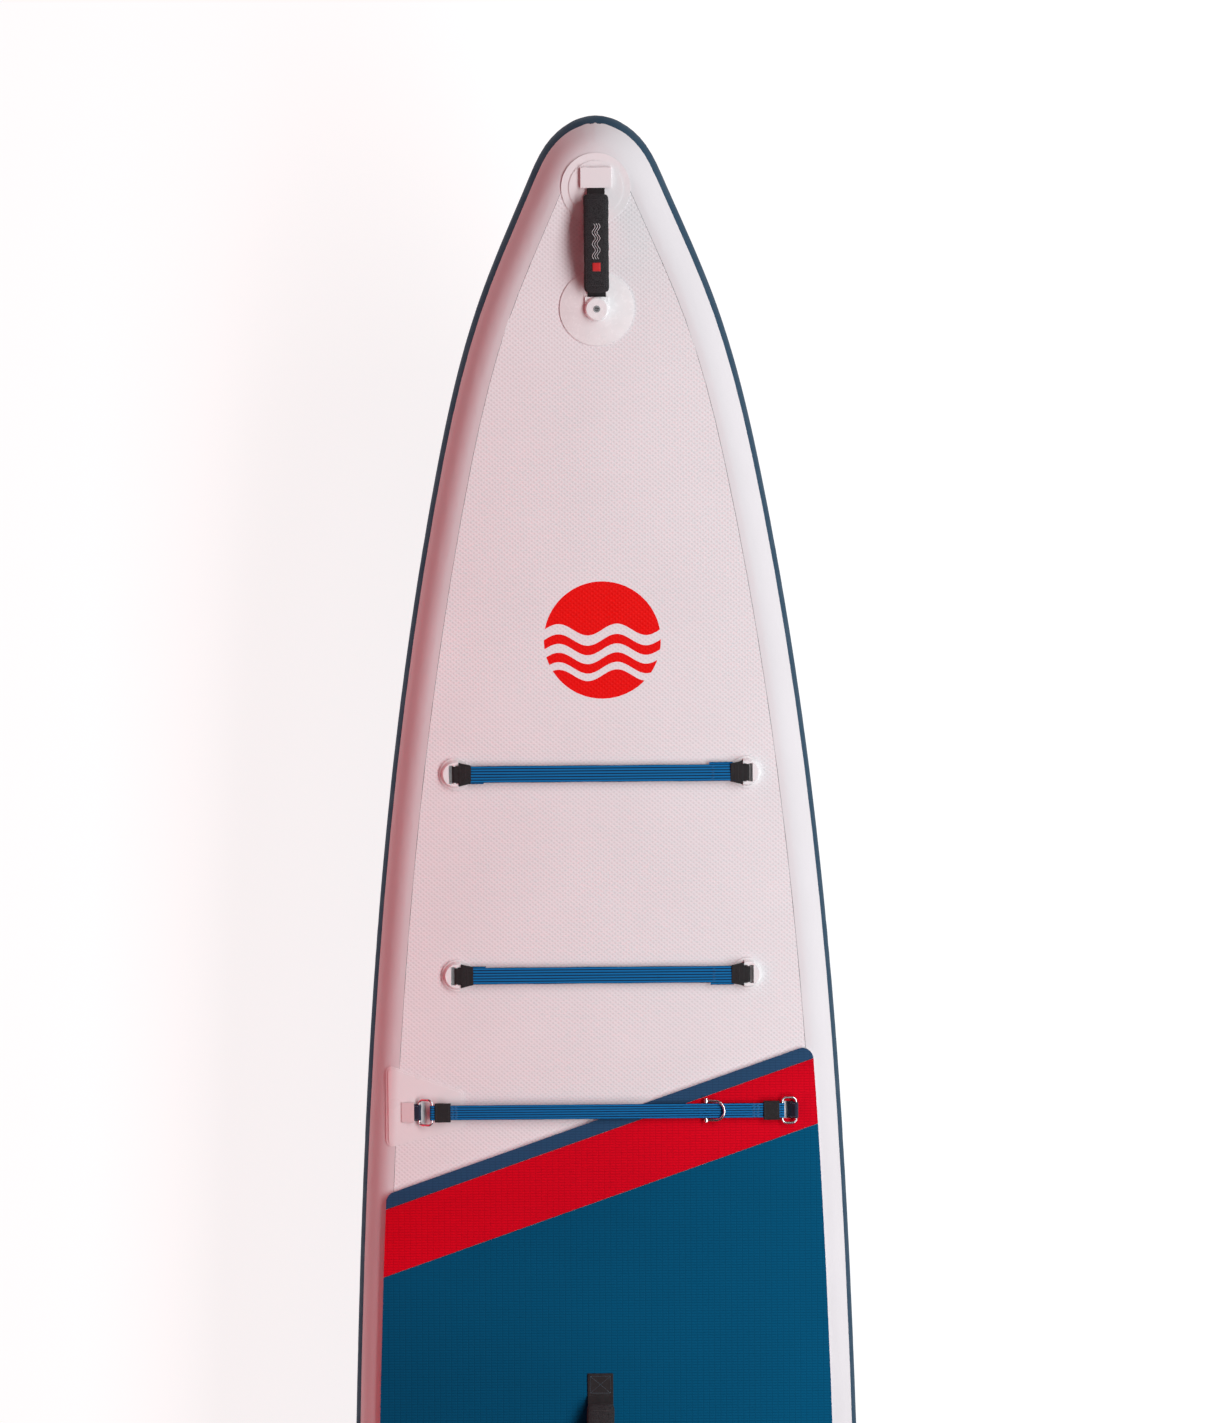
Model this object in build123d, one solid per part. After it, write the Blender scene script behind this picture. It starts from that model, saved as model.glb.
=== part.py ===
from build123d import *
import os
from math import asin, atan2, ceil, cos, degrees, hypot, pi, radians, sin

# Inflatable stand up paddleboard, millimetres. +X is the nose, +Y is port, +Z is up.
# The origin is below the middle of the board, level with the tip of the fin.
# A place on the board is given as a station along the flat board (0 at mid length, positive
# towards the nose), a distance to port, and a height. The nose is then bent up along an arc.

# ---- board ----
board_length = 3810.0
board_width = 762.0
board_thickness = 150.0
skin = 1.5
rail_reach = 50.0            # horizontal half axis of the side wall's ellipse
rocker_start = 200.0         # forward of this station the board bends up
rocker_radius = 7745.0
seam = 0.5                   # gap between neighbouring strips of the hull
glue = 0.3                   # gap between stacked plies
slip = 0.3                   # gap round a piece that moves or passes through another
band_angle = 34.0            # the colour band reaches this far above and below the rim
half_shape = [(0.985, 0.162), (0.951, 0.262), (0.860, 0.455), (0.721, 0.638), (0.534, 0.794),
              (0.298, 0.915), (0.015, 0.983), (-0.180, 1.0), (-0.500, 0.950), (-0.780, 0.815),
              (-0.900, 0.708), (-0.963, 0.585), (-0.992, 0.405)]
rim_sections = 64

# ---- fabric plies and webbing ----
ply = 0.8
webbing = 1.2
strap_thickness = 1.6

# ---- deck pad: three colours of foam with a diagonal front edge ----
pad_thickness = 5.0
pad_margin = 40.0            # from the rim to the pad
pad_front = 435.0            # station of the front edge on the centre line
pad_sweep = 19.1             # degrees of the front edge, forward on the starboard side
pad_back = -1450.0
pad_corner = 17.0
navy_width = 21.0
red_width = 94.0
pad_joint = 0.6              # gap between the colours

# ---- carry handles ----
web_thickness = 2.0
nose_web_width = 26.0
nose_handle_station = 1738.0
nose_handle_span = 156.0
nose_handle_rise = 27.0
nose_grip_width = 37.5
nose_patch_station = 1817.0
nose_patch_radius = 50.0
nose_cover_radius = 39.0
nose_tab_length = 29.0
nose_tab_width = 44.0
nose_tab_gap = 1.5            # from the start of the bow to the tab
nose_tab_wall = 3.0
nose_front_foot = 22.0
nose_back_foot = 8.0
centre_web_width = 38.0
centre_handle_station = -72.0
centre_handle_port = 8.0
centre_handle_span = 182.0
centre_handle_rise = 32.0
centre_foot = 34.0
tail_handle_station = -1600.0
tail_handle_span = 156.0
tail_handle_rise = 30.0
tail_foot = 28.0
tail_patch_length = 236.0
tail_patch_width = 74.0
grip_under = 4.5             # padding below and above the webbing
grip_over = 7.5
grip_cover = 0.87            # share of the bow that the grip covers

# ---- accessory mount ----
mount_station = 1642.0
mount_radius = 54.0
mount_height = 14.0
mount_boss_radius = 17.0
thread_radius = 3.0
insert_radius = 5.0
insert_length = 10.0
mount_bar = 17.0             # forward bar that holds the webbing, from the middle
tunnel_depth = 10.0          # webbing pocket in the bar
tunnel_height = 3.7          # middle of the pocket

# ---- cargo straps ----
cargo_stations = {"front": 953.0, "rear": 650.0}
cargo_anchor_port = 215.0
anchor_radius = 23.5
anchor_height = 9.0
anchor_bar_radius = 2.0
anchor_bar_height = 7.0
cargo_strap_width = 24.6
cargo_strap_height = 9.0     # middle of the strap over the deck
strap_end_length = 24.0
strap_end_flare = 36.0

# ---- paddle strap, rings and shackle ----
paddle_station = 445.0
paddle_strap_width = 22.0
paddle_strap_height = 12.6
ring_wire = 1.75
ring_length = 37.5           # between the middles of the wire, along the board
ring_width = 20.5
ring_corner = 6.0
ring_port = 254.3            # inboard bar of the port ring
ring_starboard = 264.9       # inboard bar of the starboard ring
port_ring_drop = 6.1         # the port ring's outboard bar is lower by this
side_loop_width = 24.0
loop_reach = 18.0
cuff_length = 24.0
cuff_width = 28.0
cuff_offset = 4.0
shackle_pin_port = -152.0
shackle_wire = 2.0
shackle_half_gap = 14.2
shackle_length = 28.0
shackle_eye = 4.0
pin_radius = 1.9
pin_clearance = 0.05
patch_outer = 323.0
patch_outer_stations = (389.0, 514.0)
patch_inner = 207.0
patch_inner_stations = (419.0, 473.0)
patch_corner = 9.0
patch_border = 3.5
pocket_port = 281.0
pocket_length = 19.0
pocket_width = 29.0
pocket_height = 6.6

# ---- inflation valve ----
valve_station = -1640.0
valve_port = 115.0
valve_flange_radius = 32.0
valve_flange = 3.0
valve_barrel_radius = 23.0
valve_bore_radius = 17.0
valve_depth = 38.0
valve_nut_radius = 33.0
valve_nut_height = 6.0
stem_radius = 3.0
stem_button_radius = 7.0
stem_travel = 5.0
guide_radius = 6.0
cap_radius = 30.0
cap_thickness = 8.0
cap_neck_radius = 6.0

# ---- leash ring ----
leash_station = -1790.0
leash_patch_radius = 40.0
leash_wire = 2.25
leash_ring_width = 40.0
leash_ring_length = 28.0
leash_bar_height = 7.5

# ---- fin and fin box ----
fin_station = -1440.0
fin_box_station = -1432.0
fin_depth = 205.0
fin_box_drop = 26.0
fin_box_length = 272.0
fin_box_width = 28.0
fin_base_length = 310.0
fin_base_width = 92.0
fin_base = 3.0
slot_length = 240.0
slot_width = 9.6
slot_depth = 22.0
groove_width = 13.6
groove_height = 3.6
groove_floor = 8.0           # above the mouth of the slot
fin_tab_length = 170.0
fin_tab_height = 18.0
fin_tongue = 20.0
fin_chord = 215.0
fin_tip_chord = 52.0
fin_rake = 200.0
fin_screw_radius = 1.95

deck = board_thickness / 2
mid_height = fin_depth + fin_box_drop + deck


def bend(station, port, height):
    """Point of the bent board; height is above mid thickness."""
    if station <= rocker_start:
        return Vector(station, port, mid_height + height)
    turn = (station - rocker_start) / rocker_radius
    arm = rocker_radius - height
    return Vector(rocker_start + arm * sin(turn), port, mid_height + rocker_radius - arm * cos(turn))


def tilt(station):
    """Slope of the deck in degrees."""
    return degrees(max(0.0, station - rocker_start) / rocker_radius)


def on_deck(station, port=0.0, lift=0.0):
    """Frame on the deck: local x towards the nose, y to port, z up from the deck."""
    return Location(tuple(bend(station, port, deck + lift)), (0, -tilt(station), 0))


def tip_station():
    """Station of the flat nose tip whose bent rim reaches half of the board's length."""
    centre = board_length / 2 - rail_reach
    for _ in range(20):
        turn = (centre - rocker_start) / rocker_radius
        rim = hypot(rail_reach * cos(turn), deck * sin(turn))
        centre += board_length / 2 - rocker_start - rocker_radius * sin(turn) - rim
    return centre + rail_reach


nose_tip = tip_station()
tail_end = -board_length / 2


# ---- plan outline of the port half, flat ----
def outline():
    """Rim of the port half, from the nose tip round to the middle of the tail."""
    side = [(share * (nose_tip if share > 0 else -tail_end), wide * board_width / 2)
            for share, wide in half_shape]
    return Spline([(nose_tip, 0)] + side + [(tail_end, 0)], tangents=[(0, 1), (0, -1)],
                  tangent_scalars=[1, 1])


def stations():
    """Points of the rim with their outward directions, closest together at the nose and the tail."""
    rim = outline()
    result = []
    for i in range(rim_sections + 1):
        share = (1 - cos(pi * i / rim_sections)) / 2
        along = rim.tangent_at(share)
        result.append((rim.position_at(share), Vector(along.Y, -along.X)))
    return result


PLAN = stations()


def rim_point(place, angle, depth=0.0):
    """Point of the side wall: angle above the rim in degrees, depth in from its outer face."""
    point, outward = place
    reach = (rail_reach - depth) * cos(radians(angle)) - rail_reach
    flat = point + outward * reach
    return bend(flat.X, flat.Y, (deck - depth) * sin(radians(angle)))


def rim_strip(low, high, low_gap, high_gap):
    """Port half of a strip of the side wall between two angles, as one loft along the outline."""
    low += degrees(low_gap / deck)
    high -= degrees(high_gap / deck)
    count = 3 + ceil((high - low) / 12)
    angles = [low + (high - low) * i / (count - 1) for i in range(count)]
    sections = []
    for place in PLAN:
        outer = Spline([rim_point(place, angle) for angle in angles])
        inner = Spline([rim_point(place, angle, skin) for angle in reversed(angles)])
        top = Line(outer @ 1, inner @ 0)
        bottom = Line(inner @ 1, outer @ 0)
        sections.append(Wire([outer, top, inner, bottom]))
    return Solid.make_loft(sections)


def run(height, start, end):
    """Edges along one height of the bent board, as a line and an arc in the XZ plane."""
    edges = []
    if start < rocker_start:
        edges.append(Line(bend(start, 0, height), bend(min(end, rocker_start), 0, height)))
    if end > rocker_start:
        first = max(start, rocker_start)
        edges.append(ThreePointArc(bend(first, 0, height), bend((first + end) / 2, 0, height),
                                   bend(end, 0, height)))
    return edges


def band(low, high, start, end, half_width):
    """Plate that follows the board between two heights and two stations."""
    lower = run(low, start, end)
    upper = run(high, start, end)
    front = Line(bend(end, 0, low), bend(end, 0, high))
    back = Line(bend(start, 0, low), bend(start, 0, high))
    return extrude(make_face(lower + upper + [front, back]), amount=half_width, both=True)


def rim_inset(inset, height):
    """Closed plan outline that follows the rim at a distance, port then starboard."""
    flat = [point - outward * inset for point, outward in PLAN]
    port = [bend(spot.X, spot.Y, height) for spot in flat]
    return [Spline([(spot.X, spot.Y) for spot in port]), Spline([(spot.X, -spot.Y) for spot in port])]


def rim_face(inset, height):
    """Plan face inside the rim; the end points of the two splines meet on the centre line."""
    return make_face(rim_inset(inset, height))


def tall(face):
    """Prism over a plan face, higher than the whole board."""
    return extrude(face, amount=mid_height + board_length / 2)


def hull_plate(low, high):
    """Skin of the deck or the hull inside the side walls."""
    face = rim_face(rail_reach + seam, (low + high) / 2)
    return band(low, high, tail_end, nose_tip, board_width / 2) & tall(face)


def half_width(station):
    """Distance from the centre line to the rim at a station."""
    for (near, _), (far, _) in zip(PLAN, PLAN[1:]):
        if far.X <= station <= near.X:
            share = (station - near.X) / (far.X - near.X) if far.X != near.X else 0.0
            return near.Y + (far.Y - near.Y) * share
    return 0.0


# ---- hull ----
def deck_skin():
    """Deck with the hole for the valve."""
    hole = Cylinder(valve_barrel_radius + slip, 4 * skin)
    return hull_plate(deck - skin, deck) - on_deck(valve_station, valve_port) * hole


def drop_stitch_yarns():
    """Sample of the yarns that tie the deck to the hull, each normal to them."""
    length = 2 * (deck - skin - glue)
    across = 130.0
    along = 152.0
    columns = int((board_width / 2 - rail_reach) / across)
    yarns = []
    for row in range(int(board_length / along) + 1):
        station = tail_end + 60.0 + row * along
        for column in range(-columns, columns + 1):
            port = column * across
            clear_of_valve = hypot(station - valve_station, port - valve_port) > 2 * valve_nut_radius
            if abs(port) + rail_reach + 20.0 < half_width(station) and clear_of_valve:
                yarn = Cylinder(1.0, length)
                yarns.append(Location(tuple(bend(station, port, 0)), (0, -tilt(station), 0)) * yarn)
    return yarns


# ---- deck pad ----
def pad_zone(start, end):
    """Diagonal plan strip between two distances behind the pad's front edge."""
    frame = Location((bend(pad_front, 0, deck).X, 0, 0), (0, 0, pad_sweep))
    return frame * Pos(-(start + end) / 2, 0) * Rectangle(end - start, 2 * board_length)


def deck_pads():
    """Navy, red and teal foam, cut from one rounded outline."""
    low = deck + glue
    whole = rim_face(pad_margin, deck) & pad_zone(0, board_length)
    whole -= Pos(pad_back - board_length / 2, 0) * Rectangle(board_length, 2 * board_width)
    whole = fillet(whole.vertices(), pad_corner)
    sheet = band(low, low + pad_thickness, pad_back - 10, nose_tip, board_width / 2)
    slot = on_deck(paddle_station, -(ring_starboard + 8.0)) * Box(side_loop_width + 1.6, 16.0, 40.0)
    cuts = [0.0, navy_width, navy_width + red_width, board_length]
    pads = []
    for start, end in zip(cuts, cuts[1:]):
        zone = whole & pad_zone(start + pad_joint / 2, end - pad_joint / 2)
        pads.append((sheet & tall(zone)) - slot)
    return pads


# ---- bowed handles ----
def bow(span, rise, low, high, width, cover=1.0):
    """Bowed strap along X: its middle line spans and rises, low and high are offsets from it."""
    radius = (span ** 2 / 4 + rise ** 2) / (2 * rise)
    half = asin(span / 2 / radius) * cover
    centre = rise - radius

    def point(offset, angle):
        return Vector((radius + offset) * sin(angle), 0, centre + (radius + offset) * cos(angle))

    edges = [ThreePointArc(point(high, -half), point(high, 0), point(high, half)),
             Line(point(high, half), point(low, half)),
             ThreePointArc(point(low, half), point(low, 0), point(low, -half)),
             Line(point(low, -half), point(high, -half))]
    return extrude(make_face(edges), amount=width / 2, both=True)


def webbing_handle(span, rise, width, front_foot, back_foot):
    """Webbing with flat feet; the middle of its feet is at z = 0."""
    half = web_thickness / 2
    strap = bow(span, rise, -half, half, width)
    front = Pos(span / 2 + front_foot / 2 - half, 0, 0) * Box(front_foot + half, width, web_thickness)
    back = Pos(-span / 2 - back_foot / 2 + half, 0, 0) * Box(back_foot + half, width, web_thickness)
    return strap + front + back


def grip(span, rise, web_width, grip_width):
    """Padded sleeve round the bowed webbing."""
    half = web_thickness / 2
    sleeve = bow(span, rise, -half - grip_under, half + grip_over, grip_width, grip_cover)
    return sleeve - bow(span, rise, -half - slip, half + slip, web_width + 2 * slip)


def rise_of(length):
    """How far the bent deck rises from its tangent plane at a distance along it."""
    return length ** 2 / (2 * rocker_radius)


def nose_stack():
    """Patch plies, tab, webbing and grip of the nose handle, and the height of its feet."""
    base_low = glue + rise_of(nose_patch_radius)
    cover_low = base_low + ply + glue
    web_low = cover_low + ply + 2 * glue
    up = (Align.CENTER, Align.CENTER, Align.MIN)
    patch_frame = on_deck(nose_patch_station)
    base = patch_frame * Pos(0, 0, base_low) * Cylinder(nose_patch_radius, ply, align=up)
    cover = patch_frame * Pos(0, 0, cover_low) * Cylinder(nose_cover_radius, ply, align=up)
    feet = web_low + web_thickness / 2 + rise_of(nose_handle_span / 2 + 12.0)
    frame = on_deck(nose_handle_station, 0, feet)
    web = webbing_handle(nose_handle_span, nose_handle_rise, nose_web_width, nose_front_foot, nose_back_foot)
    sleeve = grip(nose_handle_span, nose_handle_rise, nose_web_width, nose_grip_width)
    tab_low = cover_low + ply + glue
    tab_height = web_thickness + 2 * glue + 2 * slip + 1.6
    tab_frame = on_deck(nose_handle_station + nose_handle_span / 2 + nose_tab_gap + nose_tab_length / 2)
    tab = Pos(0, 0, tab_low) * Box(nose_tab_length, nose_tab_width, tab_height, align=up)
    room = Box(nose_tab_length, nose_web_width + 1.6, tab_height - 1.2, align=up)
    tab -= Pos(-nose_tab_wall, 0, tab_low - 0.4) * room
    return base, cover, tab_frame * tab, frame * web, frame * sleeve


def accessory_mount():
    """Domed disc with a boss for the insert and a pocket for the handle's webbing."""
    profile = [(0, 0), (mount_radius, 0), (mount_radius, 1.2), (mount_radius - 4, 1.8), (30, 4.6),
               (mount_boss_radius + 1, 6.4), (mount_boss_radius, mount_height - 2),
               (mount_boss_radius - 2, mount_height), (0, mount_height)]
    disc = revolve(make_face(Polyline([(r, 0, z) for r, z in profile], close=True)), Axis.Z)
    bar = Box(mount_bar, nose_web_width + 8.0, 8.6, align=(Align.MIN, Align.CENTER, Align.MIN))
    forward = (Align.MIN, Align.CENTER, Align.CENTER)
    pocket = Box(40.0, nose_web_width + 1.2, web_thickness + 1.2, align=forward)
    body = disc + bar
    top = (Align.CENTER, Align.CENTER, Align.MAX)
    seat = Cylinder(insert_radius + slip / 3, insert_length + 1, align=top)
    body -= Pos(0, 0, mount_height + 1) * seat
    body -= Pos(mount_bar - tunnel_depth, 0, tunnel_height) * pocket
    channel = Box(40.0, nose_web_width + 1.2, 12.0, align=(Align.MIN, Align.CENTER, Align.MIN))
    body -= Pos(mount_bar, 0, tunnel_height) * channel
    return on_deck(mount_station, 0, glue + rise_of(mount_radius)) * body


def accessory_insert():
    """Metal bush with the thread, flush with the boss."""
    top = (Align.CENTER, Align.CENTER, Align.MAX)
    bush = Cylinder(insert_radius, insert_length - slip / 3, align=top)
    bush -= Cylinder(thread_radius, insert_length + 2, align=top)
    return on_deck(mount_station, 0, glue + rise_of(mount_radius) + mount_height) * bush


# ---- webbing loops round a bar ----
def teardrop(radius, reach, end):
    """Sketch in the YZ plane: a circle drawn out to a narrow end at -Y."""
    edges = Circle(radius).edges() + (Pos(-reach, 0) * Rectangle(1.0, end)).edges()
    return Plane.YZ * make_hull(edges)


def loop(bar, thickness, reach, width):
    """Teardrop of webbing round a bar along X at the origin, closing towards -Y."""
    inner = bar + slip
    solid = teardrop(inner + thickness, reach, 2 * thickness)
    eye = teardrop(inner, reach - 4, 0.4)
    return extrude(solid - eye, amount=width / 2, both=True)


# ---- cargo straps; local y points away from the centre line ----
def cargo_anchor():
    """Low moulded cup with a bar, open towards the strap."""
    up = (Align.CENTER, Align.CENTER, Align.MIN)
    floor = 2.0
    body = Cylinder(anchor_radius, floor, align=up)
    body += Pos(0, 0, floor) * Cone(anchor_radius - 2.5, anchor_radius - 6, anchor_height - floor, align=up)
    well = (Align.CENTER, Align.MAX, Align.MIN)
    body -= Pos(0, 9.0, floor) * Box(cargo_strap_width + 2.4, 60.0, anchor_height, align=well)
    body -= Pos(0, -5.0, floor) * Box(3 * anchor_radius, 60.0, anchor_height, align=well)
    bar = Rot(0, 90, 0) * Cylinder(anchor_bar_radius, cargo_strap_width + 7.0)
    return body + Pos(0, 1.0, anchor_bar_height) * bar


def cargo_strap_end():
    """Black end: a loop round the anchor's bar and a flared sleeve over the elastic."""
    drop = degrees(atan2(cargo_strap_height - anchor_bar_height, 10.0))
    ring = loop(anchor_bar_radius, webbing, 11.0, cargo_strap_width)
    ring = Pos(0, 1.0, anchor_bar_height) * Rot(-drop, 0, 0) * ring
    flare = strap_end_flare / 2
    narrow = cargo_strap_width / 2 + 1.0
    shape = Polyline([(-flare, -5.6), (flare, -5.6), (flare - 1.5, -10), (narrow, -strap_end_length),
                      (-narrow, -strap_end_length), (1.5 - flare, -10)], close=True)
    thick = strap_thickness + 2 * webbing
    sleeve = Pos(0, 0, cargo_strap_height) * extrude(make_face(shape), amount=thick / 2, both=True)
    inboard = (Align.CENTER, Align.MAX, Align.CENTER)
    pocket = Box(cargo_strap_width + slip, 20.0, strap_thickness + slip, align=inboard)
    return ring + sleeve - Pos(0, -14.0, cargo_strap_height) * pocket


def cargo_strap():
    """Elastic between two ends, held in their sleeves."""
    length = 2 * (cargo_anchor_port - 14.0 - slip)
    return Pos(0, 0, cargo_strap_height) * Box(cargo_strap_width, length, strap_thickness)


def cargo_places(station):
    """Frames of the port and the starboard anchor, local y outboard."""
    lift = glue + rise_of(anchor_radius)
    return {"port": on_deck(station, cargo_anchor_port, lift),
            "starboard": on_deck(station, -cargo_anchor_port, lift) * Rot(0, 0, 180)}


# ---- paddle strap ----
def side_ring():
    """Rounded rectangle of wire in the XY plane, its inboard bar on the X axis, going to +Y."""
    path = RectangleRounded(ring_length, ring_width, ring_corner).wire()
    path = Pos(0, ring_width / 2) * path
    start = path.position_at(0)
    section = Plane(origin=start, z_dir=path.tangent_at(0)) * Circle(ring_wire)
    return sweep(section, path=path)


def side_frames():
    """Frames on the inboard bar of each ring, local y outboard, in the ring's plane."""
    lean = degrees(asin(port_ring_drop / ring_width))
    port = on_deck(paddle_station, ring_port, paddle_strap_height) * Rot(-lean, 0, 0)
    starboard = on_deck(paddle_station, -ring_starboard, paddle_strap_height) * Rot(0, 0, 180)
    return port, starboard


def paddle_strap():
    """Elastic with a loop round the inboard bar of each ring."""
    end = loop(ring_wire, webbing, loop_reach, paddle_strap_width)
    port = Pos(0, ring_port, 0) * end
    starboard = Pos(0, -ring_starboard, 0) * Rot(0, 0, 180) * end
    low = -ring_starboard + loop_reach - 0.4
    high = ring_port - loop_reach + 0.4
    middle = Pos(0, (low + high) / 2, 0) * Box(paddle_strap_width, high - low, strap_thickness)
    return on_deck(paddle_station, 0, paddle_strap_height) * (port + starboard + middle)


def strap_cuff():
    """Tapered sleeve over the sewn end of the paddle strap; local y towards the ring."""
    tall_half = ring_wire + slip + webbing + 0.8
    low_half = 2.6
    outer = make_face(Polyline([(0, 0, tall_half), (0, 0, -tall_half), (0, -cuff_length, -low_half),
                                (0, -cuff_length, low_half)], close=True))
    room = tall_half - 0.7
    thin = webbing + slip
    inner = make_face(Polyline([(0, 1, room), (0, 1, -room), (0, -loop_reach + cuff_offset, -thin),
                                (0, -cuff_length - 1, -thin), (0, -cuff_length - 1, thin),
                                (0, -loop_reach + cuff_offset, thin)], close=True))
    sleeve = extrude(outer, amount=cuff_width / 2, both=True)
    return sleeve - extrude(inner, amount=paddle_strap_width / 2 + slip, both=True)


def cuffs():
    """Both cuffs in place on the strap."""
    base = on_deck(paddle_station, 0, paddle_strap_height)
    port = base * Pos(0, ring_port - cuff_offset, 0) * strap_cuff()
    starboard = base * Pos(0, -ring_starboard + cuff_offset, 0) * Rot(0, 0, 180) * strap_cuff()
    return port, starboard


def patch_ply(low, border):
    """Ply of the port patch, bent over the shoulder of the side wall."""
    near, far = patch_outer_stations
    places = [place for place in PLAN if near - 130 < place[0].X < far + 130]
    inboard = rail_reach + patch_outer - patch_inner + 60.0
    angles = [90.0 - 8.0 * i for i in range(7)]
    sections = []
    for place in places:
        point, outward = place
        start = point - outward * inboard
        tops = [rim_point(place, angle, -low - ply) for angle in angles]
        feet = [rim_point(place, angle, -low) for angle in angles]
        inner_top = bend(start.X, start.Y, deck + low + ply)
        inner_foot = bend(start.X, start.Y, deck + low)
        sections.append(Wire([Line(inner_top, tops[0]), Spline(tops), Line(tops[-1], feet[-1]),
                              Spline(feet[::-1]), Line(feet[0], inner_foot), Line(inner_foot, inner_top)]))
    shape = Polyline([(patch_outer_stations[0], patch_outer), (patch_outer_stations[1], patch_outer),
                      (patch_inner_stations[1], patch_inner), (patch_inner_stations[0], patch_inner)],
                     close=True)
    face = fillet(make_face(shape).vertices(), patch_corner)
    face = offset(face, -border) if border else face
    return Solid.make_loft(sections) & tall(face)


def loop_pocket():
    """Wedge welded on the port patch over the end of the webbing loop."""
    high = pocket_height
    wedge = make_face(Polyline([(0, 0, 0), (0, pocket_length, 0), (0, pocket_length, 1.0), (0, 0, high)],
                               close=True))
    body = extrude(wedge, amount=pocket_width / 2, both=True)
    frame = on_deck(paddle_station, pocket_port, 3 * glue + 2 * ply)
    room = port_loop_envelope()
    return frame * body - room


def port_loop_frame():
    """Frame at the outboard bar of the port ring, with -Y along the loop's legs."""
    port = side_frames()[0]
    drop = degrees(atan2(2.4, loop_reach))
    spot = port * Location((0, ring_width, 0))
    level = Location(tuple(spot.position), tuple(on_deck(paddle_station).orientation))
    return level * Rot(0, 0, 180) * Rot(drop, 0, 0)


def port_loop_envelope():
    """Space for the port loop inside its pocket."""
    space = teardrop(ring_wire + 2 * slip + webbing, loop_reach + 1.0, 2 * (webbing + slip))
    return port_loop_frame() * extrude(space, amount=side_loop_width / 2 + slip, both=True)


def side_loops():
    """Webbing loops that hold the rings: port into its pocket, starboard down through the pad."""
    port = port_loop_frame() * loop(ring_wire, webbing, loop_reach, side_loop_width)
    slant = degrees(atan2(paddle_strap_height - 3.0, 12.0))
    bar = on_deck(paddle_station, -(ring_starboard + ring_width), paddle_strap_height)
    reach = (paddle_strap_height - 3.0) / sin(radians(slant))
    starboard = bar * Rot(0, 0, 180) * Rot(slant, 0, 0) * loop(ring_wire, webbing, reach, side_loop_width)
    return port, starboard


# ---- shackle ----
def shackle_frame():
    """Frame on the pin: local -Y towards the bow, in the shackle's plane."""
    under = paddle_strap_height - strap_thickness / 2 - slip - pin_radius
    over = paddle_strap_height + strap_thickness / 2 + shackle_wire + 1.9
    lean = degrees(asin((over - under) / shackle_length))
    return on_deck(paddle_station, shackle_pin_port, under) * Rot(-lean, 0, 0)


def shackle_bow():
    """Bent wire with an eye at each end."""
    leg = shackle_length - shackle_half_gap
    path = (Line((shackle_half_gap, 0), (shackle_half_gap, -leg))
            + ThreePointArc((shackle_half_gap, -leg), (0, -shackle_length), (-shackle_half_gap, -leg))
            + Line((-shackle_half_gap, -leg), (-shackle_half_gap, 0)))
    section = Plane(origin=(shackle_half_gap, 0, 0), z_dir=(0, -1, 0)) * Circle(shackle_wire)
    body = sweep(section, path=path)
    for side in (-1, 1):
        body += Pos(side * shackle_half_gap, 0, 0) * Rot(0, 90, 0) * Cylinder(shackle_eye, 2 * shackle_wire)
    body -= Rot(0, 90, 0) * Cylinder(pin_radius + pin_clearance, 4 * shackle_half_gap)
    return shackle_frame() * body


def shackle_pin():
    """Pin with a flattened thumb head."""
    reach = shackle_half_gap + shackle_wire
    body = Rot(0, 90, 0) * Cylinder(pin_radius, 2 * reach + 2.0)
    head = Pos(reach + 1.0 + 0.3, 0, 0) * Rot(0, 90, 0) * Cylinder(3.2, 1.4)
    return shackle_frame() * (body + head)


# ---- valve, all heights over the deck ----
def valve_frame():
    """Frame on the deck at the middle of the valve."""
    return on_deck(valve_station, valve_port)


def valve_body():
    """Flange and barrel with a spoked guide and a seat at its lower end."""
    up = (Align.CENTER, Align.CENTER, Align.MIN)
    down = (Align.CENTER, Align.CENTER, Align.MAX)
    body = Pos(0, 0, glue) * Cylinder(valve_flange_radius, valve_flange, align=up)
    body += Pos(0, 0, glue) * Cylinder(valve_barrel_radius, valve_depth, align=down)
    body -= Pos(0, 0, 10) * Cylinder(valve_bore_radius, valve_depth + 10 - 4.0, align=down)
    body -= Cylinder(valve_bore_radius - 4.0, 3 * valve_depth)
    guide = Pos(0, 0, -18.0) * Cylinder(guide_radius, 8.0, align=down)
    spokes = Pos(0, 0, -18.0) * Box(2 * valve_bore_radius + 2, 3.0, 8.0, align=down)
    spokes += Pos(0, 0, -18.0) * Box(3.0, 2 * valve_bore_radius + 2, 8.0, align=down)
    body += guide + spokes
    return body - Cylinder(stem_radius + slip, 4 * valve_depth)


def valve_nut():
    """Ring that clamps the deck from inside."""
    down = (Align.CENTER, Align.CENTER, Align.MAX)
    ring = Cylinder(valve_nut_radius, valve_nut_height, align=down)
    ring -= Cylinder(valve_barrel_radius + slip, 3 * valve_nut_height)
    return Pos(0, 0, -skin - glue) * ring


def valve_stem():
    """Button and rod, shown closed."""
    down = (Align.CENTER, Align.CENTER, Align.MAX)
    button = Pos(0, 0, -stem_travel) * Cylinder(stem_button_radius, 3.0, align=down)
    rod = Pos(0, 0, -6.0) * Cylinder(stem_radius, valve_depth - 3.6, align=down)
    return button + rod


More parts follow.
